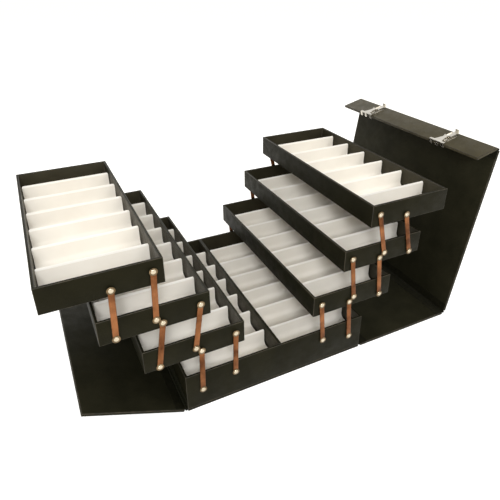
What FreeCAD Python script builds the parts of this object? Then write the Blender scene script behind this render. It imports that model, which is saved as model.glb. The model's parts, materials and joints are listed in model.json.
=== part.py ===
import FreeCAD, Part
import math
import os
from FreeCAD import Vector

# Cantilever display case, opened out. Millimetres, +X right, +Y back, +Z up.
# The origin is on the underside of the base, at its centre. Right-hand pieces are
# built first, and the left-hand ones are their mirror images with their own angles.

# Trays
TRAY_WIDTH = 158.0
TRAY_DEPTH = 388.0
TRAY_HEIGHT = 39.0
TRAY_WALL = 4.0
TRAY_FLOOR = 3.0
STACK_GAP = 1.0
CENTRE_GAP = 3.0
LEVELS = (1, 2, 3)

# Moulded inserts with scooped dividers
INSERT_SIDE_GAP = 2.0
INSERT_END_GAP = 1.0
INSERT_SHEET = 1.2
FIN_PITCH = 57.0
FIN_THICKNESS = 1.6
FIN_HEIGHT = 24.0
FIN_CORNER = 3.0
FIN_CORNER_STEPS = 2
SCOOP_RADIUS = 8.0
SCOOP_STEPS = 4

# Base box
BASE_HEIGHT = 71.0
BASE_WALL = 4.0
BOTTOM_BOARD = 5.0
BATTEN_WIDTH = 6.0

# Parallel arms between the trays
ARM_LENGTH = 78.0
ARM_WIDTH = 8.0
ARM_THICKNESS = 2.0
ARM_END = 4.0
ARM_CORNER = 2.2
ARM_FACE_GAP = 0.3
PIVOT_INSET = 15.0
PIVOT_HEIGHT = 22.0
PIVOT_SPACING = 56.0
PIVOT_DROP = 12.0
PIVOT_STEP = 4.0
RIGHT_LEANS = (5.0, 7.0, 13.5)
LEFT_LEANS = (1.5, 8.5, 2.5)

# Rivets that the arms turn on, drawn with flat sides because there are so many
RIVET_SIDES = 8
RIVET_SHANK = 2.0
RIVET_HEAD = 5.0
RIVET_CROWN = 3.0
RIVET_DOME = 1.6
RIVET_GRIP = 3.0
PIN_PLAY = 0.06

# Wrap-round cover
BOARD_THICKNESS = 5.0
RIGHT_BOARD_HEIGHT = 208.5
LEFT_BOARD_HEIGHT = 163.0
LEFT_BOARD_ANGLE = 24.5
LID_LEAN = 8.5
FLAP_WIDTH = 50.0
FLAP_DROOP = 14.0
COVER_PLAY = 1.5

# Continuous hinges
HINGE_BARREL = 2.0
HINGE_PIN = 1.2
HINGE_LEAF = 0.8
HINGE_LEAF_WIDTH = 18.0
HINGE_OFFSET = 2.5
HINGE_EDGE_GAP = 0.4
KNUCKLE_GAP = 0.4

# Draw latches on the flap
LATCH_SPREAD = 210.0
LATCH_SETBACK = 9.0
LATCH_PLATE_LENGTH = 32.0
LATCH_PLATE_TAIL = 5.0
LATCH_PLATE_WIDTH = 18.0
LATCH_PLATE_THICKNESS = 1.0
LATCH_EAR = 1.4
LATCH_EAR_LENGTH = 6.0
LATCH_PIVOT_HEIGHT = 3.2
LATCH_PIN = 1.2
LATCH_BARREL = 2.0
LEVER_WIDTH = 13.0
LEVER_THICKNESS = 1.6
LEVER_END = 4.0
LEVER_LIP = 5.0
CLAW_PIVOT_BACK = 11.0
CLAW_PIVOT_RISE = 2.6
CLAW_STRAP = 8.0
CLAW_THICKNESS = 1.2
CLAW_WIDTH = 36.0
CLAW_BAR = 7.0
CLAW_REACH = 6.5
CLAW_PIN = 0.9
CLAW_BARREL = 1.6
KEEPER_WIDTH = 30.0
KEEPER_THICKNESS = 2.4
KEEPER_RISE = 5.0
KEEPER_FOOT = 10.0

# Carrying handle on the lid
HANDLE_SPAN = 120.0
HANDLE_REACH = 34.0
HANDLE_GRIP = 9.0
HANDLE_LEG = 5.0
HANDLE_ROD = 2.5
BRACKET_WIDTH = 14.0
BRACKET_LENGTH = 22.0
BRACKET_PLATE = 1.5
BRACKET_BARREL = 5.0

# Worked out from the sizes above
STACK_PITCH = TRAY_HEIGHT + STACK_GAP
INSERT_DEPTH = TRAY_DEPTH - 2 * (TRAY_WALL + INSERT_END_GAP)
FIN_COUNT = int(INSERT_DEPTH // FIN_PITCH)
ARM_RISE = STACK_PITCH + PIVOT_STEP
ARM_REACH = math.sqrt(ARM_LENGTH ** 2 - ARM_RISE ** 2)
BASE_HALF = CENTRE_GAP + TRAY_WIDTH + BASE_WALL
BASE_LEVEL = BASE_HEIGHT - TRAY_HEIGHT
HALF_DEPTH = TRAY_DEPTH / 2
AXIS_X = BASE_HALF + HINGE_OFFSET
AXIS_Z = BOARD_THICKNESS
EDGE = HINGE_BARREL + HINGE_EDGE_GAP
LID_LENGTH = 2 * AXIS_X + BOARD_THICKNESS + COVER_PLAY
LID_ANGLE = 90.0 - LID_LEAN
FLAP_ANGLE = 180.0 + FLAP_DROOP
LID_AXIS = (AXIS_X + RIGHT_BOARD_HEIGHT, AXIS_Z)
FLAP_AXIS = (
    LID_AXIS[0] + LID_LENGTH * math.cos(math.radians(LID_ANGLE)),
    LID_AXIS[1] + LID_LENGTH * math.sin(math.radians(LID_ANGLE)),
)
LATCH_PIVOT = FLAP_WIDTH - LATCH_SETBACK
LATCH_PLACES = {"front": -LATCH_SPREAD / 2, "back": LATCH_SPREAD / 2}

PART_FOLDER = "parts"


def block(x, y, z):
    """A box between the two limits given for each axis."""
    corner = Vector(x[0], y[0], z[0])
    return Part.makeBox(x[1] - x[0], y[1] - y[0], z[1] - z[0], corner)


def rod(radius, x, z, y):
    """A round bar along Y, at x and z, between the two limits y."""
    return Part.makeCylinder(radius, y[1] - y[0], Vector(x, y[0], z), Vector(0, 1, 0))


def tube(radius, bore, x, z, y):
    return rod(radius, x, z, y).cut(rod(bore, x, z, (y[0] - 1, y[1] + 1)))


def flat_face(corners):
    return Part.Face(Part.makePolygon(corners + corners[:1]))


def many_sided(radius, x, y, z):
    """The corners of an outline with RIVET_SIDES sides, facing along Y."""
    turns = [2 * math.pi * k / RIVET_SIDES for k in range(RIVET_SIDES)]
    return [Vector(x + radius * math.cos(t), y, z + radius * math.sin(t)) for t in turns]


def many_sided_bar(radius, x, z, y):
    return flat_face(many_sided(radius, x, y[0], z)).extrude(Vector(0, y[1] - y[0], 0))


def many_sided_taper(rim, crown):
    """A solid between two outlines with the same number of corners."""
    faces = [flat_face(rim), flat_face(crown)]
    for k in range(len(rim)):
        faces.append(flat_face([rim[k - 1], rim[k], crown[k], crown[k - 1]]))
    return Part.makeSolid(Part.makeShell(faces))


def joined(shapes):
    first, *rest = shapes
    return first.fuse(rest).removeSplitter()


def raised(shape, angle, axis=(0.0, 0.0)):
    """Turn a shape about a Y axis at (x, z), anticlockwise as seen from the front."""
    shape.rotate(Vector(axis[0], 0, axis[1]), Vector(0, -1, 0), angle)
    return shape


def carried(shape, axis, angle):
    """Move a shape made about the origin to a hinge axis, and turn it there."""
    shape.translate(Vector(axis[0], 0, axis[1]))
    return raised(shape, angle, axis)


def mirrored(shape):
    return shape.mirror(Vector(0, 0, 0), Vector(1, 0, 0))


def both_ends(shape):
    """A piece on the front face, with its twin on the back face."""
    return Part.makeCompound([shape, shape.mirror(Vector(0, 0, 0), Vector(0, 1, 0))])


# Trays, inserts, arms and rivets

def tray_corner(leans, level):
    """Inner bottom corner (x, z) of a tray, or of the base column at level 0."""
    angles = [math.radians(lean) for lean in leans[:level]]
    x = CENTRE_GAP + sum(ARM_REACH - ARM_LENGTH * math.sin(a) for a in angles)
    z = BASE_LEVEL + sum(ARM_LENGTH * math.cos(a) - PIVOT_STEP for a in angles)
    return x, z


def own_pivots(leans, level):
    """Inner and outer pivots on one tray, for the arms that carry it."""
    x, z = tray_corner(leans, level)
    inner = (x + PIVOT_INSET, z + PIVOT_HEIGHT)
    outer = (inner[0] + PIVOT_SPACING, inner[1] - PIVOT_DROP)
    return inner, outer


def next_pivots(leans, level):
    """Inner and outer pivots on one tray, for the arms that carry the tray above."""
    return [(x + ARM_REACH, z - PIVOT_STEP) for x, z in own_pivots(leans, level)]


def tray(corner):
    x, z = corner
    outside = block((x, x + TRAY_WIDTH), (-HALF_DEPTH, HALF_DEPTH), (z, z + TRAY_HEIGHT))
    inside = block(
        (x + TRAY_WALL, x + TRAY_WIDTH - TRAY_WALL),
        (TRAY_WALL - HALF_DEPTH, HALF_DEPTH - TRAY_WALL),
        (z + TRAY_FLOOR, z + TRAY_HEIGHT + 1),
    )
    return outside.cut(inside)


def scoop_profile():
    """Side view of an insert: each divider stands at the back of a scooped floor."""
    corners = [(0, 0), (0, INSERT_SHEET)]
    for fin in range(1, FIN_COUNT + 1):
        back = fin * FIN_PITCH
        face = back - FIN_THICKNESS
        for step in range(SCOOP_STEPS + 1):
            turn = math.pi / 2 * step / SCOOP_STEPS
            y = face - SCOOP_RADIUS * (1 - math.sin(turn))
            corners.append((y, INSERT_SHEET + SCOOP_RADIUS * (1 - math.cos(turn))))
        corners += [(face, FIN_HEIGHT), (back, FIN_HEIGHT), (back, INSERT_SHEET)]
    corners += [(INSERT_DEPTH, INSERT_SHEET), (INSERT_DEPTH, 0)]
    return flat_face([Vector(0, y, z) for y, z in corners])


def rounded_end_profile(width):
    """Front view of an insert: a rectangle with rounded top corners."""
    centre_x = width / 2 - FIN_CORNER
    centre_z = FIN_HEIGHT - FIN_CORNER
    turns = [math.pi / 2 * k / FIN_CORNER_STEPS for k in range(FIN_CORNER_STEPS + 1)]
    right = [(width / 2, 0)]
    right += [(centre_x + FIN_CORNER * math.cos(t), centre_z + FIN_CORNER * math.sin(t)) for t in turns]
    left = [(-x, z) for x, z in reversed(right)]
    return flat_face([Vector(width / 2 + x, 0, z) for x, z in right + left])


def insert(x, width, z):
    """A white insert from x to x + width, standing on the floor at height z."""
    scoops = scoop_profile().extrude(Vector(width, 0, 0))
    outline = rounded_end_profile(width).extrude(Vector(0, INSERT_DEPTH, 0))
    shape = scoops.common(outline)
    shape.translate(Vector(x, -INSERT_DEPTH / 2, z))
    return shape


def tray_insert(corner):
    side = TRAY_WALL + INSERT_SIDE_GAP
    return insert(corner[0] + side, TRAY_WIDTH - 2 * side, corner[1] + TRAY_FLOOR)


def arm(lower, lean):
    """A flat bar with cut corners on the front face, from its lower pivot up, leaning inward."""
    front = -HALF_DEPTH - ARM_FACE_GAP
    back = front - ARM_THICKNESS
    x, z = lower
    half = ARM_WIDTH / 2
    middle = z + ARM_LENGTH / 2
    reach = ARM_LENGTH / 2 + ARM_END
    quarter = [(half, reach - ARM_CORNER), (half - ARM_CORNER, reach)]
    top = quarter + [(-a, b) for a, b in reversed(quarter)]
    outline = top + [(-a, -b) for a, b in top]
    flat = flat_face([Vector(x + a, back, middle + b) for a, b in outline])
    bar = flat.extrude(Vector(0, ARM_THICKNESS, 0))
    through = (back - 1, front + 1)
    hole = (RIVET_SHANK + PIN_PLAY) / math.cos(math.pi / RIVET_SIDES)
    for height in (z, z + ARM_LENGTH):
        bar = bar.cut(many_sided_bar(hole, x, height, through))
    return raised(bar, lean, lower)


def rivet(pivot):
    """A crowned rivet that is fast in the wall and holds an arm against it."""
    x, z = pivot
    under_head = -HALF_DEPTH - ARM_FACE_GAP - ARM_THICKNESS - PIN_PLAY
    shank = many_sided_bar(RIVET_SHANK, x, z, (under_head, RIVET_GRIP - HALF_DEPTH))
    rim = many_sided(RIVET_HEAD, x, under_head, z)
    crown = many_sided(RIVET_CROWN, x, under_head - RIVET_DOME, z)
    return joined([many_sided_taper(rim, crown), shank])


def rivets(pivots):
    return Part.makeCompound([both_ends(rivet(pivot)) for pivot in pivots])


def tray_stack(leans):
    """One side's trays with their inserts, rivets and pairs of arms."""
    nodes = {}
    for level in LEVELS:
        corner = tray_corner(leans, level)
        pivots = list(own_pivots(leans, level))
        if level < LEVELS[-1]:
            pivots += next_pivots(leans, level)
        lean = leans[level - 1]
        inner, outer = next_pivots(leans, level - 1)
        nodes[f"tray_{level}"] = tray(corner)
        nodes[f"tray_{level}_insert"] = tray_insert(corner)
        nodes[f"tray_{level}_rivets"] = rivets(pivots)
        nodes[f"tray_{level}_inner_arms"] = both_ends(arm(inner, lean))
        nodes[f"tray_{level}_outer_arms"] = both_ends(arm(outer, lean))
    return nodes


# Base box

def base_walls():
    half_inside = BASE_HALF - BASE_WALL
    half_deep = HALF_DEPTH - BASE_WALL
    outside = block((-BASE_HALF, BASE_HALF), (-HALF_DEPTH, HALF_DEPTH), (BOTTOM_BOARD, BASE_HEIGHT))
    inside = block((-half_inside, half_inside), (-half_deep, half_deep), (0, BASE_HEIGHT + 1))
    return outside.cut(inside)


def base_column(make):
    """A pair of like pieces, one in each column of the base."""
    right = make()
    return Part.makeCompound([right, mirrored(right)])


def floor_panel():
    return block(
        (CENTRE_GAP, CENTRE_GAP + TRAY_WIDTH),
        (TRAY_WALL - HALF_DEPTH, HALF_DEPTH - TRAY_WALL),
        (BASE_LEVEL, BASE_LEVEL + TRAY_FLOOR),
    )


def floor_battens():
    front = TRAY_WALL - HALF_DEPTH
    batten = block(
        (CENTRE_GAP, CENTRE_GAP + TRAY_WIDTH), (front, front + BATTEN_WIDTH), (BOTTOM_BOARD, BASE_LEVEL)
    )
    return both_ends(batten)


def base_nodes():
    y = (-HALF_DEPTH, HALF_DEPTH)
    inner_y = (y[0] + BASE_WALL, y[1] - BASE_WALL)
    column_insert = insert(
        CENTRE_GAP + INSERT_SIDE_GAP, TRAY_WIDTH - 2 * INSERT_SIDE_GAP, BASE_LEVEL + TRAY_FLOOR
    )
    side_rivets = rivets(next_pivots(RIGHT_LEANS, 0))
    return {
        "base_bottom_board": block((-BASE_HALF, BASE_HALF), y, (0, BOTTOM_BOARD)),
        "base_walls": base_walls(),
        "base_divider": block((-CENTRE_GAP, CENTRE_GAP), inner_y, (BOTTOM_BOARD, BASE_HEIGHT)),
        "base_floor_panels": base_column(floor_panel),
        "base_floor_battens": base_column(floor_battens),
        "base_right_insert": column_insert,
        "base_left_insert": mirrored(column_insert),
        "base_rivets": Part.makeCompound([side_rivets, mirrored(side_rivets)]),
    }


# Cover boards and their hinges, each made about its hinge axis with the inner face up

def knuckle_spans(middle):
    """The stretches of a hinge barrel that belong to one leaf."""
    third = TRAY_DEPTH / 3
    if middle:
        return [(KNUCKLE_GAP - third / 2, third / 2 - KNUCKLE_GAP)]
    return [(-HALF_DEPTH, -third / 2), (third / 2, HALF_DEPTH)]


def hinge_leaf(middle):
    """A leaf along +X on the inner face. The pin turns in a middle knuckle and is fast in end ones."""
    z = (0, HINGE_LEAF)
    pieces = [block((EDGE, HINGE_LEAF_WIDTH), (-HALF_DEPTH, HALF_DEPTH), z)]
    for y in knuckle_spans(middle):
        pieces += [block((0, EDGE), y, z), rod(HINGE_BARREL, 0, 0, y)]
    leaf = joined(pieces)
    if middle:
        leaf = leaf.cut(rod(HINGE_PIN + PIN_PLAY, 0, 0, (-HALF_DEPTH, HALF_DEPTH)))
    return leaf


def hinge_pin():
    return rod(HINGE_PIN, 0, 0, (-HALF_DEPTH, HALF_DEPTH))


def far_leaf(length, middle):
    """The leaf at the other end of a board, round the axis at x = length."""
    leaf = mirrored(hinge_leaf(middle))
    leaf.translate(Vector(length, 0, 0))
    return leaf


def far_pin(length):
    pin = hinge_pin()
    pin.translate(Vector(length, 0, 0))
    return pin


def cover_board(near, far):
    return block((near, far), (-HALF_DEPTH, HALF_DEPTH), (-BOARD_THICKNESS, 0))


def base_leaf():
    """The leaf flat on the base's side wall, reaching down to the end knuckles."""
    x = (-HINGE_OFFSET, HINGE_LEAF - HINGE_OFFSET)
    pieces = [block(x, (-HALF_DEPTH, HALF_DEPTH), (EDGE, HINGE_LEAF_WIDTH))]
    for y in knuckle_spans(False):
        pieces += [block(x, y, (0, EDGE)), rod(HINGE_BARREL, 0, 0, y)]
    leaf = joined(pieces)
    leaf.translate(Vector(AXIS_X, 0, AXIS_Z))
    return leaf


def latch_keeper():
    """A strip on the left board's outer face, with a rib that a claw hooks under."""
    free_edge = RIGHT_BOARD_HEIGHT - FLAP_WIDTH
    top = free_edge - (CLAW_REACH - CLAW_THICKNESS - KEEPER_THICKNESS) / 2
    half = KEEPER_WIDTH / 2
    rib = block((top - KEEPER_THICKNESS, top), (-half, half), (-KEEPER_RISE, 0))
    foot = block((top - KEEPER_FOOT, top), (-half, half), (-HINGE_LEAF, 0))
    shape = joined([rib, foot])
    shape.translate(Vector(0, 0, -BOARD_THICKNESS))
    return shape


def at_latches(make):
    shapes = []
    for place in LATCH_PLACES.values():
        shape = make()
        shape.translate(Vector(0, place, 0))
        shapes.append(shape)
    return Part.makeCompound(shapes)


def right_board_nodes():
    nodes = {
        "right_board": cover_board(EDGE, RIGHT_BOARD_HEIGHT - EDGE),
        "right_board_leaf": hinge_leaf(True),
        "lid_hinge_leaf": far_leaf(RIGHT_BOARD_HEIGHT, False),
        "lid_hinge_pin": far_pin(RIGHT_BOARD_HEIGHT),
    }
    return {name: carried(shape, (AXIS_X, AXIS_Z), 0) for name, shape in nodes.items()}


def left_board_nodes():
    nodes = {
        "left_board": cover_board(EDGE, LEFT_BOARD_HEIGHT),
        "left_board_leaf": hinge_leaf(True),
        "latch_keepers": at_latches(latch_keeper),
    }
    placed = {name: carried(shape, (AXIS_X, AXIS_Z), LEFT_BOARD_ANGLE) for name, shape in nodes.items()}
    return {name: mirrored(shape) for name, shape in placed.items()}


# Carrying handle, on the lid's outer face at its middle

def handle_axis():
    return LID_LENGTH / 2, -BOARD_THICKNESS - BRACKET_PLATE - BRACKET_BARREL


def handle_brackets():
    x, z = handle_axis()
    middle = HANDLE_SPAN / 2
    y = (middle - BRACKET_WIDTH / 2, middle + BRACKET_WIDTH / 2)
    half = BRACKET_LENGTH / 2
    bottom = -BOARD_THICKNESS - BRACKET_PLATE
    plate = block((x - half, x + half), y, (bottom, -BOARD_THICKNESS))
    post = block((x - BRACKET_BARREL, x + BRACKET_BARREL), y, (z - BRACKET_BARREL, bottom))
    eye = rod(HANDLE_ROD + PIN_PLAY, x, z, (y[0] - 1, y[1] + 1))
    return both_ends(joined([plate, post]).cut(eye))


def carry_handle():
    """A covered grip on two legs that hang plumb from the brackets while the lid leans."""
    x, z = handle_axis()
    inner = HANDLE_SPAN / 2 - BRACKET_WIDTH / 2 - KNUCKLE_GAP
    low = x - HANDLE_REACH
    half = HANDLE_GRIP / 2
    thin = HANDLE_LEG / 2
    grip = block((low - HANDLE_GRIP, low + HANDLE_GRIP), (-inner, inner), (z - half, z + half))
    leg = block((low, x + HANDLE_ROD), (inner - HANDLE_GRIP, inner), (z - thin, z + thin))
    stub = rod(HANDLE_ROD, x, z, (inner - HANDLE_GRIP, inner + BRACKET_WIDTH))
    side = joined([leg, stub])
    handle = joined([grip, side, side.mirror(Vector(0, 0, 0), Vector(0, 1, 0))])
    return raised(handle, LID_LEAN, (x, z))


def lid_nodes():
    nodes = {
        "lid_board": cover_board(EDGE, LID_LENGTH - EDGE),
        "lid_leaf": hinge_leaf(True),
        "flap_hinge_leaf": far_leaf(LID_LENGTH, False),
        "flap_hinge_pin": far_pin(LID_LENGTH),
        "handle_brackets": handle_brackets(),
        "carry_handle": carry_handle(),
    }
    return {name: carried(shape, LID_AXIS, LID_ANGLE) for name, shape in nodes.items()}


# Latches, drawn with the flap's outer face downward at z = -BOARD_THICKNESS

def outward(height):
    """Height of a point that stands this far off the flap's outer face."""
    return -BOARD_THICKNESS - height


def off_face(low, high):
    return outward(high), outward(low)


def latch_plate():
    half = LATCH_PLATE_WIDTH / 2
    end = LATCH_PIVOT + LATCH_PLATE_TAIL
    plate = block((end - LATCH_PLATE_LENGTH, end), (-half, half), off_face(0, LATCH_PLATE_THICKNESS))
    reach = LATCH_EAR_LENGTH / 2
    top = LATCH_PIVOT_HEIGHT + LATCH_BARREL
    ears = [
        block((LATCH_PIVOT - reach, LATCH_PIVOT + reach), y, off_face(LATCH_PLATE_THICKNESS, top))
        for y in ((-half, LATCH_EAR - half), (half - LATCH_EAR, half))
    ]
    pin = rod(LATCH_PIN, LATCH_PIVOT, outward(LATCH_PIVOT_HEIGHT), (-half, half))
    return joined([plate, pin] + ears)


def claw_axis():
    return LATCH_PIVOT - CLAW_PIVOT_BACK, outward(LATCH_PIVOT_HEIGHT + CLAW_PIVOT_RISE)


def latch_lever():
    half = LEVER_WIDTH / 2
    y = (-half, half)
    pivot = outward(LATCH_PIVOT_HEIGHT)
    barrel = tube(LATCH_BARREL, LATCH_PIN + PIN_PLAY, LATCH_PIVOT, pivot, y)
    strap_z = (pivot - LEVER_THICKNESS / 2, pivot + LEVER_THICKNESS / 2)
    strap = block((LEVER_END, LATCH_PIVOT - LATCH_PIN - LATCH_BARREL / 4), y, strap_z)
    lip = block((LEVER_END, LEVER_END + LEVER_THICKNESS), y, (strap_z[0] - LEVER_LIP, strap_z[0]))
    x, z = claw_axis()
    inner = CLAW_STRAP / 2 + KNUCKLE_GAP
    lug_x = (x - CLAW_BARREL, x + CLAW_BARREL)
    lug_z = (z - CLAW_BARREL, strap_z[0])
    lugs = [block(lug_x, span, lug_z) for span in ((-half, -inner), (inner, half))]
    pin = rod(CLAW_PIN, x, z, (-inner, inner))
    return joined([barrel, strap, lip, pin] + lugs)


def latch_claw():
    """A T-shaped hook: a strap on the lever's pin, a cross bar past the free edge, and a lip."""
    x, z = claw_axis()
    half = CLAW_STRAP / 2
    barrel = tube(CLAW_BARREL, CLAW_PIN + PIN_PLAY, x, z, (-half, half))
    top = (z - CLAW_BARREL, z - CLAW_BARREL + CLAW_THICKNESS)
    end = FLAP_WIDTH + CLAW_REACH
    strap = block((x, end), (-half, half), top)
    strap = strap.cut(rod(CLAW_PIN + PIN_PLAY, x, z, (-half - 1, half + 1)))
    wide = CLAW_WIDTH / 2
    bar = block((end - CLAW_BAR, end), (-wide, wide), top)
    lip = block((end - CLAW_THICKNESS, end), (-wide, wide), (top[1], 0))
    return joined([barrel, strap, bar, lip])


def latch_pair(make):
    shapes = {}
    for place, y in LATCH_PLACES.items():
        shape = make()
        shape.translate(Vector(0, y, 0))
        shapes[place] = shape
    return shapes


def flap_nodes():
    nodes = {
        "lid_flap": cover_board(EDGE, FLAP_WIDTH),
        "flap_leaf": hinge_leaf(True),
        "latch_plates": at_latches(latch_plate),
    }
    for kind, make in (("lever", latch_lever), ("claw", latch_claw)):
        for place, shape in latch_pair(make).items():
            nodes[f"{place}_latch_{kind}"] = shape
    return {name: carried(shape, FLAP_AXIS, FLAP_ANGLE) for name, shape in nodes.items()}


def side_hinge_nodes():
    leaf = base_leaf()
    pin = hinge_pin()
    pin.translate(Vector(AXIS_X, 0, AXIS_Z))
    return {
        "base_hinge_leaves": Part.makeCompound([leaf, mirrored(leaf)]),
        "base_hinge_pins": Part.makeCompound([pin, mirrored(pin)]),
    }


def all_nodes():
    nodes = {}
    nodes.update(base_nodes())
    nodes.update(side_hinge_nodes())
    nodes.update({f"right_{name}": shape for name, shape in tray_stack(RIGHT_LEANS).items()})
    nodes.update({f"left_{name}": mirrored(shape) for name, shape in tray_stack(LEFT_LEANS).items()})
    nodes.update(right_board_nodes())
    nodes.update(left_board_nodes())
    nodes.update(lid_nodes())
    nodes.update(flap_nodes())
    return nodes


def main():
    os.makedirs(PART_FOLDER, exist_ok=True)
    for name, shape in all_nodes().items():
        shape.exportStep(os.path.join(PART_FOLDER, f"{name}.step"))


main()
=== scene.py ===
import json
import math

import bmesh
import bpy
from mathutils import Matrix, Vector


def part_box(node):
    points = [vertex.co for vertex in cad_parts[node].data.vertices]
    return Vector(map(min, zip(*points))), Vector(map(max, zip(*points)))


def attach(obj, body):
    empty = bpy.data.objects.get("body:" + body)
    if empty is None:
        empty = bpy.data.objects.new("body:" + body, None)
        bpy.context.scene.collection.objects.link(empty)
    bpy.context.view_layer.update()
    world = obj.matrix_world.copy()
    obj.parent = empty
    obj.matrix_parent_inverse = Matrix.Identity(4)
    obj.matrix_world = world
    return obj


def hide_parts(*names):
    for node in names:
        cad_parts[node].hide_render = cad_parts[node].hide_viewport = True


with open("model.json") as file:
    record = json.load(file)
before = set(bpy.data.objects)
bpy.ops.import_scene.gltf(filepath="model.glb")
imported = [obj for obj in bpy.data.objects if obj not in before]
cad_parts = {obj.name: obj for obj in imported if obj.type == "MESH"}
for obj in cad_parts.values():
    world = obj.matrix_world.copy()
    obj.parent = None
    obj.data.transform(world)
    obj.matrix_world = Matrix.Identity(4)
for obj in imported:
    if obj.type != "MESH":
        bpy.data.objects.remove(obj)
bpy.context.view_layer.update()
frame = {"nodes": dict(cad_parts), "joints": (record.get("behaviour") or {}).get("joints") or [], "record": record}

# Boards and bars, in metres like all sizes here
WALL = 0.004
FLOOR = 0.003
HALF_DEPTH = 0.194
BASE_INSIDE = 0.1625
ARM_GAP = 0.0003
ARM_THICKNESS = 0.002
ARM_WIDTH = 0.0086
ARM_STEPS = 10

# Inserts: the fins are higher than the model's and stand centred front to back
FIN_PITCH = 0.057
FIN_COUNT = 6
FIN_THICKNESS = 0.0016
FIN_HEIGHT = 0.0315
FIN_CORNER = 0.003
CORNER_STEPS = 7
FIN_LIP = 0.0005
# FIN_BAND is the height of each divider's leaning top band, which also carries the painted highlight
FIN_BAND = 0.0035
FIN_LEAN = 0.0006
FIN_TOP_LEAN = 1.5 * FIN_LEAN
SHEET = 0.0012
SCOOP_RADIUS = 0.008
SCOOP_STEPS = 10

# Rivets: the hole is a part of the dome's radius, the soft rim a part of the washer's height
WASHER_RADIUS = 0.00575
WASHER_HEIGHT = 0.0006
WASHER_HOLE = 0.6
WASHER_SOFT = 0.4
DOME_RADIUS = 0.0037
DOME_HEIGHT = 0.0014
DOME_SINK = 0.0005
DOME_STEPS = 6
SHANK_RADIUS = 0.002
SHANK_DEPTH = 0.004
SHANK_TOP = 0.0001
ROUND_STEPS = 28

# Latches: waist and shoulder are parts of CLAW_HALF, nose and tip of LEVER_HALF, head and rim of a barrel
FLAP_DROOP = 14.0
FLAP_WIDTH = 0.05
CLAW_REACH = 0.0065
CLAW_THICKNESS = 0.0012
CLAW_HALF = 0.018
CLAW_BAR = 0.007
CLAW_STRAP = 0.008
CLAW_NECK = 0.008
CLAW_WAIST = 0.42
CLAW_SHOULDER = 0.5
CLAW_STEP = 0.0025
CLAW_CORNER = 0.001
CLAW_BARREL = 0.0016
HOOK_FOOT = 0.003
HOOK_HALF = 0.0031
HOOK_SPREAD = 0.0148
LEVER_HALF = 0.0065
LEVER_THICKNESS = 0.0016
LEVER_HEAD = 0.8
LEVER_END = 0.004
LEVER_TAPER = 0.007
LEVER_NOSE = 0.002
LEVER_NOSE_HALF = 0.8
LEVER_TIP_HALF = 0.6
LEVER_INSET = 0.001
LEVER_EDGE = 0.0011
LEVER_RISE = 0.0009
LEVER_LIP = 0.0049
LUG_GAP = 0.0003
LATCH_BARREL = 0.002
BARREL_RIM = 0.15
LATCH_SINK = 0.0002

# Rounding of edges
TRAY_ROUND = 0.0009
BASE_ROUND = 0.0008
PANEL_ROUND = 0.0004
BAR_ROUND = 0.0008
BOARD_ROUND = 0.0011
HINGE_ROUND = 0.0001
METAL_ROUND = 0.0003
GRIP_ROUND = 0.0014

# Angles in degrees: edges that are rounded, and corners that stay sharp in the shading
EDGE_ANGLE = 25
BAR_EDGE_ANGLE = 60
SHARP_ANGLE = 40.0
INSERT_SHARP_ANGLE = 35.0
METAL_SHARP_ANGLE = 50.0

# Widths below which points and faces count as the same
SAME_POINT = 1e-6
SAME_RIVET_POINT = 1e-7
SAME_LEVEL = 1e-5

# Camera at the photograph's angle, for a square frame
EYE = Vector((-0.30498, -0.72601, 0.62931))
LOOK = Vector((0.39671, 0.79436, -0.46002))
RIGHT = Vector((0.89490, -0.44626, 0.00116))
LENS = 34.876
SENSOR = 36.0
SHIFT = (-0.0194, -0.0697)
CLIP_NEAR = 0.05
CLIP_FAR = 200.0

# Light
FLOOR_SPAN = 80.0
FLOOR_DROP = 0.0002
FLOOR_COLOUR = (0.8, 0.8, 0.79, 1)
FLOOR_GLOW = 0.69
GLOW_COLOUR = (0.96, 0.98, 1.0, 1)
WORLD_LIGHT = (1.0, 0.9, 0.74, 1)
WORLD_STRENGTH = 0.52
SKY_COLOUR = (1, 1, 1, 1)
SKY_STRENGTH = 1.0
WARM_SHEEN = (1.0, 0.9, 0.62, 1)

# Each lamp's place, target, size and power
LAMPS = {
    "key": ((-0.62, -1.78, 1.4), (0.03, 0.0, 0.12), 0.7, 23.0),
    "left": ((-1.9, -0.7, 1.25), (0.15, 0.0, 0.15), 1.2, 7.0),
    "right": ((1.1, -1.2, 1.65), (-0.15, 0.0, 0.15), 1.2, 9.5),
    "back": ((0.3, 1.9, 1.3), (0.0, 0.0, 0.15), 1.2, 12.0),
}

joints = {joint["name"]: joint for joint in frame["joints"]}
body_of = {}
for body_name, members in frame["record"]["behaviour"]["bodies"].items():
    for member in members:
        body_of[member] = body_name


# Materials

def linear(value):
    value /= 255
    return value / 12.92 if value <= 0.04045 else ((value + 0.055) / 1.055) ** 2.4


def colour(r, g, b):
    """A colour written as it looks on a screen, 0 to 255."""
    return (linear(r), linear(g), linear(b), 1)


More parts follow.
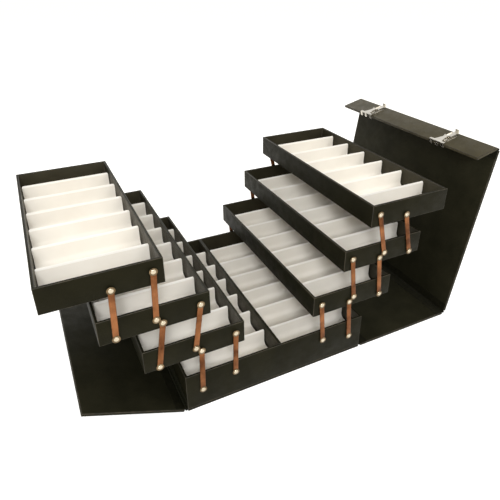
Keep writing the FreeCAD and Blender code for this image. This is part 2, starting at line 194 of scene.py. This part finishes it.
class Paint:
    """A node material with its shader, and short ways to add nodes to it."""

    def __init__(self, name, roughness, metallic=0.0, specular=0.5):
        self.material = bpy.data.materials.new(name)
        self.material.use_nodes = True
        self.tree = self.material.node_tree
        self.shader = self.tree.nodes["Principled BSDF"]
        self.shader.inputs["Roughness"].default_value = roughness
        self.shader.inputs["Metallic"].default_value = metallic
        self.shader.inputs["Specular IOR Level"].default_value = specular
        self.place = self.add("ShaderNodeTexCoord").outputs["Object"]

    def add(self, kind, **settings):
        node = self.tree.nodes.new(kind)
        for key, value in settings.items():
            setattr(node, key, value)
        return node

    def link(self, output, socket):
        self.tree.links.new(output, socket)

    def stretched(self, scale):
        mapping = self.add("ShaderNodeMapping")
        mapping.inputs["Scale"].default_value = scale
        self.link(self.place, mapping.inputs["Vector"])
        return mapping.outputs["Vector"]

    def noise(self, scale, detail=3.0, roughness=0.55, place=None):
        node = self.add("ShaderNodeTexNoise")
        node.inputs["Scale"].default_value = scale
        node.inputs["Detail"].default_value = detail
        node.inputs["Roughness"].default_value = roughness
        self.link(place or self.place, node.inputs["Vector"])
        return node.outputs["Fac"]

    def cells(self, scale):
        node = self.add("ShaderNodeTexVoronoi", feature="SMOOTH_F1")
        node.inputs["Scale"].default_value = scale
        self.link(self.place, node.inputs["Vector"])
        return node.outputs["Distance"]

    def ramp(self, factor, stops):
        node = self.add("ShaderNodeValToRGB")
        elements = node.color_ramp.elements
        while len(elements) < len(stops):
            elements.new(0.5)
        for element, (position, value) in zip(elements, stops):
            element.position = position
            element.color = value
        self.link(factor, node.inputs["Fac"])
        return node.outputs["Color"]

    def tint(self, output):
        self.link(output, self.shader.inputs["Base Color"])

    def gloss(self, factor, low, high):
        grey = [(0.3, (low, low, low, 1)), (0.7, (high, high, high, 1))]
        self.link(self.ramp(factor, grey), self.shader.inputs["Roughness"])

    def bump(self, height, strength, distance, below=None):
        node = self.add("ShaderNodeBump")
        node.inputs["Strength"].default_value = strength
        node.inputs["Distance"].default_value = distance
        self.link(height, node.inputs["Height"])
        if below is not None:
            self.link(below, node.inputs["Normal"])
        self.link(node.outputs["Normal"], self.shader.inputs["Normal"])
        return node.outputs["Normal"]


def grained_cloth(name, dark, light, roughness, grain, specular=0.12):
    """Black grained covering, with a pebbled grain and soft blotches."""
    paint = Paint(name, roughness, specular=specular)
    paint.shader.inputs["Specular Tint"].default_value = WARM_SHEEN
    blotches = paint.noise(scale=22.0, detail=4.0)
    paint.tint(paint.ramp(blotches, [(0.3, dark), (0.75, light)]))
    paint.gloss(paint.noise(scale=60.0), low=roughness - 0.08, high=roughness + 0.1)
    pebbles = paint.bump(paint.cells(grain), strength=0.35, distance=0.0005)
    pores = paint.noise(scale=grain * 2.5, detail=2.0)
    paint.bump(pores, strength=0.2, distance=0.0003, below=pebbles)
    return paint.material


def worn_edge(name, dark, worn):
    """The covering along an edge, rubbed pale in places."""
    paint = Paint(name, 0.6, specular=0.3)
    rubbing = paint.noise(scale=90.0, detail=5.0, roughness=0.7)
    paint.tint(paint.ramp(rubbing, [(0.4, dark), (0.62, worn)]))
    paint.bump(paint.noise(scale=700.0, detail=2.0), strength=0.25, distance=0.0003)
    return paint.material


def moulded_white(name, low, high):
    """Dull white plastic, a little uneven."""
    paint = Paint(name, 0.6, specular=0.15)
    paint.tint(paint.ramp(paint.noise(scale=14.0), [(0.3, low), (0.7, high)]))
    paint.gloss(paint.noise(scale=45.0, detail=2.0), low=0.54, high=0.68)
    paint.bump(paint.noise(scale=420.0, detail=2.0), strength=0.08, distance=0.0002)
    return paint.material


def brushed_copper():
    """Copper with streaks along the bars and a darker blush in places."""
    paint = Paint("copper_link", 0.3, metallic=1.0)
    streaks = paint.noise(scale=1.0, roughness=0.6, place=paint.stretched((900.0, 900.0, 40.0)))
    blush = paint.noise(scale=34.0)
    paint.tint(paint.ramp(blush, [(0.32, colour(82, 49, 29)), (0.68, colour(146, 96, 62))]))
    paint.gloss(streaks, low=0.16, high=0.36)
    paint.bump(streaks, strength=0.12, distance=0.0002)
    return paint.material


def plated(name, low, high, smooth, rough):
    """Plated metal with faint stains."""
    paint = Paint(name, smooth, metallic=1.0)
    paint.tint(paint.ramp(paint.noise(scale=120.0), [(0.3, low), (0.7, high)]))
    paint.gloss(paint.noise(scale=260.0), low=smooth, high=rough)
    paint.bump(paint.noise(scale=500.0, detail=2.0), strength=0.04, distance=0.0002)
    return paint.material


def enamelled():
    """Dark enamel of the hinges."""
    paint = Paint("dark_hinge", 0.5, specular=0.06)
    mottle = paint.noise(scale=160.0, detail=4.0)
    paint.tint(paint.ramp(mottle, [(0.35, colour(22, 22, 15)), (0.75, colour(33, 32, 22))]))
    paint.gloss(paint.noise(scale=200.0), low=0.42, high=0.6)
    paint.bump(paint.noise(scale=600.0, detail=2.0), strength=0.1, distance=0.0002)
    return paint.material


COVER = grained_cloth("leatherette", colour(17, 17, 9), colour(27, 26, 15), 0.55, 620.0, 0.1)
# A paler copy of the leatherette for the boards, beside the darker one on the trays and base: painted light that
# lifts the boards' shaded faces
BOARD_COVER_PAINTED_LIGHT = grained_cloth("board_leatherette_painted_light", colour(28, 28, 19), colour(40, 39, 28), 0.55, 620.0, 0.1)
# A paler copy of the leatherette for the flap: painted light, as the flap faces up into the light
FLAP_COVER_PAINTED_LIGHT = grained_cloth("flap_leatherette_painted_light", colour(58, 54, 40), colour(74, 69, 53), 0.5, 620.0, 0.2)
# The lining has its own finer grain and sheen. Its colour is a paler copy of the leatherette, painted light for
# the bounce from the white inserts in the shaded insides
LINING_PAINTED_LIGHT = grained_cloth("lining", colour(27, 26, 19), colour(40, 38, 29), 0.4, 1100.0, 0.35)
EDGE = worn_edge("worn_edge", colour(30, 28, 20), colour(62, 56, 43))
GRIP = grained_cloth("grip", colour(30, 27, 24), colour(46, 42, 37), 0.45, 800.0)
WHITE = moulded_white("white_insert", colour(237, 233, 225), colour(245, 242, 235))
# Paler white for the top band of each divider: a painted highlight where the rounded tops catch the light
WHITE_PAINTED_HIGHLIGHT = moulded_white("white_insert_painted_highlight", colour(250, 248, 243), colour(253, 252, 249))
COPPER = brushed_copper()
NICKEL = plated("nickel", colour(196, 190, 178), colour(222, 217, 206), 0.12, 0.26)
RIVET = plated("rivet", colour(186, 174, 150), colour(212, 200, 178), 0.18, 0.3)
WASHER = plated("washer", colour(96, 80, 58), colour(132, 112, 84), 0.24, 0.42)
HINGE = enamelled()


# Mesh helpers

def piece_from(name, mesh_data, materials, body, slot, *nodes):
    """A new piece that stands for CAD nodes and rides on their body."""
    data = bpy.data.meshes.new(name)
    mesh_data.to_mesh(data)
    mesh_data.free()
    for material in materials:
        data.materials.append(material)
    piece = bpy.data.objects.new(name, data)
    bpy.context.scene.collection.objects.link(piece)
    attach(piece, body)
    if nodes:
        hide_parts(*nodes)
    return piece


def shade(piece, angle=SHARP_ANGLE):
    """Smooth shading that keeps the corners sharper than the angle."""
    data = piece.data
    data.polygons.foreach_set("use_smooth", [True] * len(data.polygons))
    data.set_sharp_from_angle(angle=math.radians(angle))


def rounded(mesh_data, width, segments, edge_material, angle=EDGE_ANGLE):
    """Rounds every edge that turns by more than the angle."""
    sharp = [
        edge for edge in mesh_data.edges
        if len(edge.link_faces) == 2 and edge.calc_face_angle() > math.radians(angle)
    ]
    bmesh.ops.bevel(
        mesh_data, geom=sharp, offset=width, offset_type="OFFSET", segments=segments, profile=0.5,
        affect="EDGES", clamp_overlap=True, material=edge_material,
    )


def cad_copy(node):
    """A CAD node's mesh with its flat faces made whole again."""
    mesh_data = bmesh.new()
    mesh_data.from_mesh(frame["nodes"][node].data)
    bmesh.ops.remove_doubles(mesh_data, verts=mesh_data.verts, dist=SAME_POINT)
    bmesh.ops.dissolve_limit(
        mesh_data, angle_limit=math.radians(1), verts=mesh_data.verts, edges=mesh_data.edges
    )
    for face in mesh_data.faces:
        face.material_index = 0
    return mesh_data


def skinned(node, materials, slot, width, segments=2, edge_material=-1):
    """A CAD node again, with its edges rounded."""
    mesh_data = cad_copy(node)
    rounded(mesh_data, width, segments, edge_material)
    piece = piece_from(f"{node}_skin", mesh_data, materials, body_of[node], slot, node)
    shade(piece)
    return piece


# Trays and base

def open_box(low, high, floor):
    """A box with no top, its walls WALL thick, with the inner faces in the second material."""
    mesh_data = bmesh.new()
    bmesh.ops.create_cube(mesh_data, size=1.0)
    middle = (low + high) / 2
    span = high - low
    for vertex in mesh_data.verts:
        vertex.co = middle + Vector((vertex.co.x * span.x, vertex.co.y * span.y, vertex.co.z * span.z))
    top = max(mesh_data.faces, key=lambda face: face.calc_center_median().z)
    bmesh.ops.inset_region(mesh_data, faces=[top], thickness=WALL, use_even_offset=True)
    drop = bmesh.ops.extrude_face_region(mesh_data, geom=[top])
    moved = [item for item in drop["geom"] if isinstance(item, bmesh.types.BMVert)]
    bmesh.ops.translate(mesh_data, vec=(0, 0, low.z + floor - high.z), verts=moved)
    if top.is_valid:
        bmesh.ops.delete(mesh_data, geom=[top], context="FACES_ONLY")
    bmesh.ops.recalc_face_normals(mesh_data, faces=mesh_data.faces)
    for face in mesh_data.faces:
        spot = face.calc_center_median()
        between_sides = abs(spot.x - middle.x) < span.x / 2 - WALL / 2
        between_ends = abs(spot.y - middle.y) < span.y / 2 - WALL / 2
        below_rim = low.z + SAME_LEVEL < spot.z < high.z - SAME_LEVEL
        face.material_index = 1 if between_sides and between_ends and below_rim else 0
    return mesh_data


def tray(node):
    low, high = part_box(node)
    mesh_data = open_box(low, high, FLOOR)
    rounded(mesh_data, TRAY_ROUND, 3, 2)
    # The inner faces get the lining, whose paler colour is painted light
    piece = piece_from(f"{node}_skin", mesh_data, [COVER, LINING_PAINTED_LIGHT, EDGE], body_of[node], "leatherette", node)
    shade(piece)


def insert_profile(depth):
    """Side view of an insert as (y, z) points: a sheet that scoops up into each divider."""
    points = [(0.0, 0.0), (0.0, SHEET)]
    first = (depth - (FIN_COUNT - 1) * FIN_PITCH + FIN_THICKNESS) / 2
    for fin in range(FIN_COUNT):
        back = first + fin * FIN_PITCH
        face = back - FIN_THICKNESS
        for step in range(SCOOP_STEPS + 1):
            turn = math.pi / 2 * step / SCOOP_STEPS
            y = face - SCOOP_RADIUS * (1 - math.sin(turn))
            points.append((y, SHEET + SCOOP_RADIUS * (1 - math.cos(turn))))
        points += [
            (face, FIN_HEIGHT - FIN_BAND), (face + FIN_LEAN, FIN_HEIGHT - FIN_LIP),
            (face + FIN_TOP_LEAN, FIN_HEIGHT), (back - FIN_LIP, FIN_HEIGHT),
            (back, FIN_HEIGHT - FIN_LIP), (back, SHEET),
        ]
    points += [(depth, SHEET), (depth, 0.0)]
    return points


def end_height(distance):
    """How high a divider may reach this far from its end: its top corners are rounded."""
    if distance >= FIN_CORNER:
        return FIN_HEIGHT
    reach = FIN_CORNER - distance
    return FIN_HEIGHT - FIN_CORNER + math.sqrt(FIN_CORNER ** 2 - reach ** 2)


def insert(node):
    """A white insert with rounded divider corners, and a paler band along each divider's top as a painted
    highlight.
    """
    low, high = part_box(node)
    width = high.x - low.x
    depth = high.y - low.y
    profile = insert_profile(depth)
    turns = [math.pi / 2 * step / CORNER_STEPS for step in range(CORNER_STEPS + 1)]
    near = [FIN_CORNER * (1 - math.cos(turn)) for turn in turns]
    stations = near + [width - distance for distance in reversed(near)]
    mesh_data = bmesh.new()
    rows = []
    for station in stations:
        limit = end_height(min(station, width - station))
        rows.append([
            mesh_data.verts.new((low.x + station, low.y + y, low.z + min(z, limit))) for y, z in profile
        ])
    count = len(profile)
    for first, second in zip(rows, rows[1:]):
        for k in range(count):
            following = (k + 1) % count
            face = mesh_data.faces.new((first[k], first[following], second[following], second[k]))
            foot = min(profile[k][1], profile[following][1])
            # Faces in the top band get the paler white, the painted highlight
            face.material_index = 1 if foot > FIN_HEIGHT - FIN_BAND - SAME_POINT else 0
    mesh_data.faces.new(rows[0][::-1])
    mesh_data.faces.new(rows[-1])
    bmesh.ops.recalc_face_normals(mesh_data, faces=mesh_data.faces)
    piece = piece_from(f"{node}_form", mesh_data, [WHITE, WHITE_PAINTED_HIGHLIGHT], body_of[node], "white_insert", node)
    shade(piece, INSERT_SHARP_ANGLE)


def base():
    for node in ("base_walls", "base_bottom_board", "base_divider"):
        mesh_data = cad_copy(node)
        for face in mesh_data.faces:
            spot = face.calc_center_median()
            inside = abs(spot.x) < BASE_INSIDE and abs(spot.y) < HALF_DEPTH - WALL / 2
            upright = abs(face.normal.z) < 0.5
            # Inner upright faces get the lining, whose paler colour is painted light
            face.material_index = 1 if inside and upright else 0
        rounded(mesh_data, BASE_ROUND, 3, 2)
        piece = piece_from(f"{node}_skin", mesh_data, [COVER, LINING_PAINTED_LIGHT, EDGE], "base", "leatherette", node)
        shade(piece)
    # The floor panels and battens get the lining too, with its painted light
    for node in ("base_floor_panels", "base_floor_battens"):
        skinned(node, [LINING_PAINTED_LIGHT], "lining", PANEL_ROUND)


# Arms and rivets

def strip(mesh_data, lower, upper, face, outward):
    """A flat bar with round ends between two pivots, standing off a wall."""
    along = (upper - lower).normalized()
    across = Vector((along.z, 0, -along.x))
    outline = []
    for centre, start in ((lower, math.pi), (upper, 0.0)):
        for step in range(ARM_STEPS + 1):
            turn = start + math.pi * step / ARM_STEPS
            aside = across * (ARM_WIDTH / 2 * math.cos(turn))
            outline.append(centre + aside + along * (ARM_WIDTH / 2 * math.sin(turn)))
    near = [mesh_data.verts.new((p.x, face, p.z)) for p in outline]
    far = [mesh_data.verts.new((p.x, face + outward * ARM_THICKNESS, p.z)) for p in outline]
    mesh_data.faces.new(near)
    mesh_data.faces.new(far[::-1])
    for k in range(len(outline)):
        mesh_data.faces.new((near[k - 1], near[k], far[k], far[k - 1]))


def arm_pair(node, lower, upper):
    mesh_data = bmesh.new()
    for outward in (-1, 1):
        strip(mesh_data, lower, upper, outward * (HALF_DEPTH + ARM_GAP), outward)
    bmesh.ops.recalc_face_normals(mesh_data, faces=mesh_data.faces)
    rounded(mesh_data, BAR_ROUND, 3, -1, BAR_EDGE_ANGLE)
    piece = piece_from(f"{node}_bars", mesh_data, [COPPER], body_of[node], "copper_link", node)
    shade(piece, METAL_SHARP_ANGLE)


def pivot(joint):
    return Vector(joints[joint]["pos_m"])


def turned(mesh_data, x, z, start, outward, profile, material):
    """A round form on the wall's axis, from (radius, height) points."""
    rings = []
    for radius, height in profile:
        y = start + outward * height
        if radius < SAME_POINT:
            rings.append([mesh_data.verts.new((x, y, z))])
            continue
        angles = [2 * math.pi * k / ROUND_STEPS for k in range(ROUND_STEPS)]
        rings.append([
            mesh_data.verts.new((x + radius * math.cos(a), y, z + radius * math.sin(a))) for a in angles
        ])
    for lower, upper in zip(rings, rings[1:]):
        for k in range(ROUND_STEPS):
            corners = [lower[k - 1 if len(lower) > 1 else 0], lower[k if len(lower) > 1 else 0]]
            corners += [upper[k if len(upper) > 1 else 0], upper[k - 1 if len(upper) > 1 else 0]]
            unique = list(dict.fromkeys(corners))
            face = mesh_data.faces.new(unique)
            face.material_index = material


def dome_profile():
    points = [(0.0, -DOME_SINK), (DOME_RADIUS, -DOME_SINK), (DOME_RADIUS, 0.0)]
    for step in range(1, DOME_STEPS + 1):
        turn = math.pi / 2 * step / DOME_STEPS
        points.append((DOME_RADIUS * math.cos(turn), DOME_HEIGHT * math.sin(turn)))
    points[-1] = (0.0, DOME_HEIGHT)
    return points


def washer_profile():
    inner = DOME_RADIUS * WASHER_HOLE
    soft = WASHER_HEIGHT * WASHER_SOFT
    return [
        (inner, 0.0), (WASHER_RADIUS, 0.0), (WASHER_RADIUS, WASHER_HEIGHT - soft),
        (WASHER_RADIUS - soft, WASHER_HEIGHT), (inner, WASHER_HEIGHT), (inner, 0.0),
    ]


def rivet_set(node, pivots):
    """Domed rivets over washers at both ends of the pivots, with their shanks through the bars."""
    mesh_data = bmesh.new()
    seat = HALF_DEPTH + ARM_GAP + ARM_THICKNESS
    shank = [(0.0, -SHANK_DEPTH), (SHANK_RADIUS, -SHANK_DEPTH), (SHANK_RADIUS, SHANK_TOP), (0.0, SHANK_TOP)]
    for spot in pivots:
        for outward in (-1, 1):
            start = outward * seat
            turned(mesh_data, spot.x, spot.z, start, outward, shank, 0)
            turned(mesh_data, spot.x, spot.z, start, outward, washer_profile(), 1)
            dome_start = start + outward * WASHER_HEIGHT * WASHER_SOFT
            turned(mesh_data, spot.x, spot.z, dome_start, outward, dome_profile(), 0)
    bmesh.ops.remove_doubles(mesh_data, verts=mesh_data.verts, dist=SAME_RIVET_POINT)
    bmesh.ops.recalc_face_normals(mesh_data, faces=mesh_data.faces)
    piece = piece_from(f"{node}_domes", mesh_data, [RIVET, WASHER], body_of[node], "nickel", node)
    shade(piece, METAL_SHARP_ANGLE)


def stacks():
    """Both columns of trays with their inserts, bars and rivets, and the base's own inserts."""
    base_pivots = []
    for side in ("right", "left"):
        for level in (1, 2, 3):
            name = f"{side}_tray_{level}"
            tray(name)
            insert(f"{name}_insert")
            inner = pivot(f"{name}_inner_arms")
            outer = pivot(f"{name}_outer_arms")
            swing = pivot(f"{name}_swing") - inner
            arm_pair(f"{name}_inner_arms", inner, inner + swing)
            arm_pair(f"{name}_outer_arms", outer, outer + swing)
            spots = [inner + swing, outer + swing]
            if level < 3:
                above = f"{side}_tray_{level + 1}"
                spots += [pivot(f"{above}_inner_arms"), pivot(f"{above}_outer_arms")]
            rivet_set(f"{name}_rivets", spots)
            if level == 1:
                base_pivots += [inner, outer]
    rivet_set("base_rivets", base_pivots)
    insert("base_right_insert")
    insert("base_left_insert")


# Latches, drawn in the flap's own directions

def on_flap(along, across, off):
    """The point this far along the flap from its hinge, across it, and off its inner face."""
    droop = math.radians(FLAP_DROOP)
    hinge = pivot("flap_hinge")
    x = hinge.x - along * math.cos(droop) - off * math.sin(droop)
    z = hinge.z - along * math.sin(droop) + off * math.cos(droop)
    return Vector((x, across, z))


def flap_place(spot):
    """How far along the flap and off its inner face a point is."""
    droop = math.radians(FLAP_DROOP)
    away = spot - pivot("flap_hinge")
    along = -away.x * math.cos(droop) - away.z * math.sin(droop)
    return along, away.z * math.cos(droop) - away.x * math.sin(droop)


def slab(mesh_data, middle, outline, low, high):
    """A plate parallel to the flap, from an outline of (along, across) points."""
    lower = [mesh_data.verts.new(on_flap(along, middle + across, low)) for along, across in outline]
    upper = [mesh_data.verts.new(on_flap(along, middle + across, high)) for along, across in outline]
    mesh_data.faces.new(lower)
    mesh_data.faces.new(upper[::-1])
    for k in range(len(outline)):
        mesh_data.faces.new((lower[k - 1], lower[k], upper[k], upper[k - 1]))


def mirrored(half):
    """A closed outline from the (along, across) points of its one half."""
    return half + [(along, -across) for along, across in reversed(half)]


def oblong(start, end, one, other):
    return [(start, one), (end, one), (end, other), (start, other)]


def barrel(mesh_data, spot, radius, half):
    rim = radius * BARREL_RIM
    profile = [(0.0, 0.0), (radius - rim, 0.0), (radius, rim), (radius, 2 * half - rim)]
    profile += [(radius - rim, 2 * half), (0.0, 2 * half)]
    turned(mesh_data, spot.x, spot.z, spot.y - half, 1, profile, 0)


def latch_claw(node):
    """A T-shaped claw: a strap with sloping shoulders, a cross bar and three hooks over the free edge."""
    spot = pivot(node)
    start, off = flap_place(spot)
    top = off + CLAW_BARREL
    low = top - CLAW_THICKNESS
    end = FLAP_WIDTH + CLAW_REACH
    back = end - CLAW_BAR
    strap = CLAW_STRAP / 2
    mesh_data = bmesh.new()
    slab(mesh_data, spot.y, mirrored([
        (start, strap),
        (start + CLAW_NECK, strap),
        (back - CLAW_CORNER, CLAW_HALF * CLAW_WAIST),
        (back + CLAW_STEP, CLAW_HALF * CLAW_SHOULDER),
        (back + CLAW_STEP, CLAW_HALF - CLAW_CORNER),
        (back + CLAW_STEP + CLAW_CORNER, CLAW_HALF),
        (end - CLAW_CORNER, CLAW_HALF),
        (end, CLAW_HALF - CLAW_CORNER),
    ]), low, top)
    for across in (-HOOK_SPREAD, 0.0, HOOK_SPREAD):
        hook = oblong(end - CLAW_THICKNESS, end, across - HOOK_HALF, across + HOOK_HALF)
        slab(mesh_data, spot.y, hook, HOOK_FOOT, low + LATCH_SINK)
    rounded(mesh_data, METAL_ROUND, 2, -1)
    barrel(mesh_data, spot, CLAW_BARREL, strap)
    finish_latch(mesh_data, node)


def latch_lever(node, claw):
    """A channel with raised edges, a turned-up end, and lugs that hold the claw's pin."""
    spot = pivot(node)
    start, off = flap_place(spot)
    lug_place, lug_off = flap_place(pivot(claw))
    low = off - LEVER_THICKNESS / 2
    high = off + LEVER_THICKNESS / 2
    seat = high - LATCH_SINK
    head = start - LATCH_BARREL * LEVER_HEAD
    taper = LEVER_END + LEVER_TAPER
    tip = LEVER_HALF * LEVER_TIP_HALF
    mesh_data = bmesh.new()
    slab(mesh_data, spot.y, mirrored([
        (head, LEVER_HALF),
        (taper, LEVER_HALF),
        (LEVER_END + LEVER_NOSE, LEVER_HALF * LEVER_NOSE_HALF),
        (LEVER_END, tip),
    ]), low, high)
    for side in (-1, 1):
        outer = side * LEVER_HALF
        edge = oblong(taper + LEVER_INSET, head - LEVER_INSET, outer, outer - side * LEVER_EDGE)
        slab(mesh_data, spot.y, edge, seat, high + LEVER_RISE)
        inner = side * (CLAW_STRAP / 2 + LUG_GAP)
        lug = oblong(lug_place - CLAW_BARREL, lug_place + CLAW_BARREL, inner, outer)
        slab(mesh_data, spot.y, lug, seat, lug_off + CLAW_BARREL)
    lip = oblong(LEVER_END, LEVER_END + LEVER_THICKNESS, -tip, tip)
    slab(mesh_data, spot.y, lip, seat, high + LEVER_LIP)
    rounded(mesh_data, METAL_ROUND, 2, -1)
    barrel(mesh_data, spot, LATCH_BARREL, LEVER_HALF)
    finish_latch(mesh_data, node)


def finish_latch(mesh_data, node):
    bmesh.ops.recalc_face_normals(mesh_data, faces=mesh_data.faces)
    piece = piece_from(f"{node}_form", mesh_data, [NICKEL], body_of[node], "nickel", node)
    shade(piece)


# Cover, hinges, latches and handle

def cover():
    # The boards get the paler covering, painted light for their shaded faces
    for node in ("right_board", "left_board", "lid_board"):
        skinned(node, [BOARD_COVER_PAINTED_LIGHT, EDGE], "leatherette", BOARD_ROUND, 3, 1)
    # The flap gets the paler covering, painted light for its upward face
    skinned("lid_flap", [FLAP_COVER_PAINTED_LIGHT, EDGE], "leatherette", BOARD_ROUND, 3, 1)
    for node in frame["nodes"]:
        if node.endswith(("leaf", "leaves", "pin", "pins")):
            skinned(node, [HINGE], "dark_hinge", HINGE_ROUND, 1)
    for node in ("latch_keepers", "latch_plates", "handle_brackets"):
        skinned(node, [NICKEL], "nickel", METAL_ROUND)
    for place in ("front", "back"):
        latch_lever(f"{place}_latch_lever", f"{place}_latch_claw")
        latch_claw(f"{place}_latch_claw")
    skinned("carry_handle", [GRIP], "grip", GRIP_ROUND, 3)


# Floor, light and camera

def seen_directly(tree):
    """1 for a ray from the camera, and for one that metal or glass sends on."""
    path = tree.nodes.new("ShaderNodeLightPath")
    value = path.outputs["Is Camera Ray"]
    for kind in ("Is Glossy Ray", "Is Transmission Ray"):
        either = tree.nodes.new("ShaderNodeMath")
        either.operation = "MAXIMUM"
        tree.links.new(value, either.inputs[0])
        tree.links.new(path.outputs[kind], either.inputs[1])
        value = either.outputs[0]
    return value


def white_floor():
    bpy.ops.mesh.primitive_plane_add(size=FLOOR_SPAN, location=(0, 0, -FLOOR_DROP))
    floor = bpy.context.active_object
    floor.name = "floor"
    material = bpy.data.materials.new("floor")
    material.use_nodes = True
    tree = material.node_tree
    tree.nodes.clear()
    output = tree.nodes.new("ShaderNodeOutputMaterial")
    diffuse = tree.nodes.new("ShaderNodeBsdfDiffuse")
    diffuse.inputs["Color"].default_value = FLOOR_COLOUR
    glow = tree.nodes.new("ShaderNodeEmission")
    glow.inputs["Color"].default_value = GLOW_COLOUR
    lift = tree.nodes.new("ShaderNodeMath")
    lift.operation = "MULTIPLY"
    lift.inputs[1].default_value = FLOOR_GLOW
    tree.links.new(seen_directly(tree), lift.inputs[0])
    tree.links.new(lift.outputs[0], glow.inputs["Strength"])
    both = tree.nodes.new("ShaderNodeAddShader")
    tree.links.new(diffuse.outputs[0], both.inputs[0])
    tree.links.new(glow.outputs[0], both.inputs[1])
    tree.links.new(both.outputs[0], output.inputs["Surface"])
    floor.data.materials.append(material)


def soft_world():
    """Warm light from all round, and plain white where it is seen."""
    world = bpy.data.worlds.new("studio")
    bpy.context.scene.world = world
    world.use_nodes = True
    tree = world.node_tree
    light = tree.nodes["Background"]
    light.inputs["Color"].default_value = WORLD_LIGHT
    light.inputs["Strength"].default_value = WORLD_STRENGTH
    white = tree.nodes.new("ShaderNodeBackground")
    white.inputs["Color"].default_value = SKY_COLOUR
    white.inputs["Strength"].default_value = SKY_STRENGTH
    choice = tree.nodes.new("ShaderNodeMixShader")
    tree.links.new(seen_directly(tree), choice.inputs["Fac"])
    tree.links.new(light.outputs[0], choice.inputs[1])
    tree.links.new(white.outputs[0], choice.inputs[2])
    tree.links.new(choice.outputs[0], tree.nodes["World Output"].inputs["Surface"])


def lamp(name, place, target, size, power):
    light = bpy.data.lights.new(name, "AREA")
    light.shape = "DISK"
    light.size = size
    light.energy = power
    lamp_object = bpy.data.objects.new(name, light)
    lamp_object.location = place
    aim = Vector(target) - Vector(place)
    lamp_object.rotation_euler = aim.to_track_quat("-Z", "Y").to_euler()
    bpy.context.scene.collection.objects.link(lamp_object)


def camera():
    data = bpy.data.cameras.new("camera")
    data.sensor_width = SENSOR
    data.lens = LENS
    data.shift_x, data.shift_y = SHIFT
    data.clip_start = CLIP_NEAR
    data.clip_end = CLIP_FAR
    view = bpy.data.objects.new("camera", data)
    forward = LOOK.normalized()
    right = (RIGHT - forward * RIGHT.dot(forward)).normalized()
    up = right.cross(forward)
    turn = Matrix((right, up, -forward)).transposed().to_4x4()
    view.matrix_world = Matrix.Translation(EYE) @ turn
    bpy.context.scene.collection.objects.link(view)
    bpy.context.scene.camera = view


def studio():
    white_floor()
    soft_world()
    for name, (place, target, size, power) in LAMPS.items():
        lamp(name, place, target, size, power)
    camera()
    bpy.context.scene.view_settings.view_transform = "Standard"


base()
stacks()
cover()
studio()
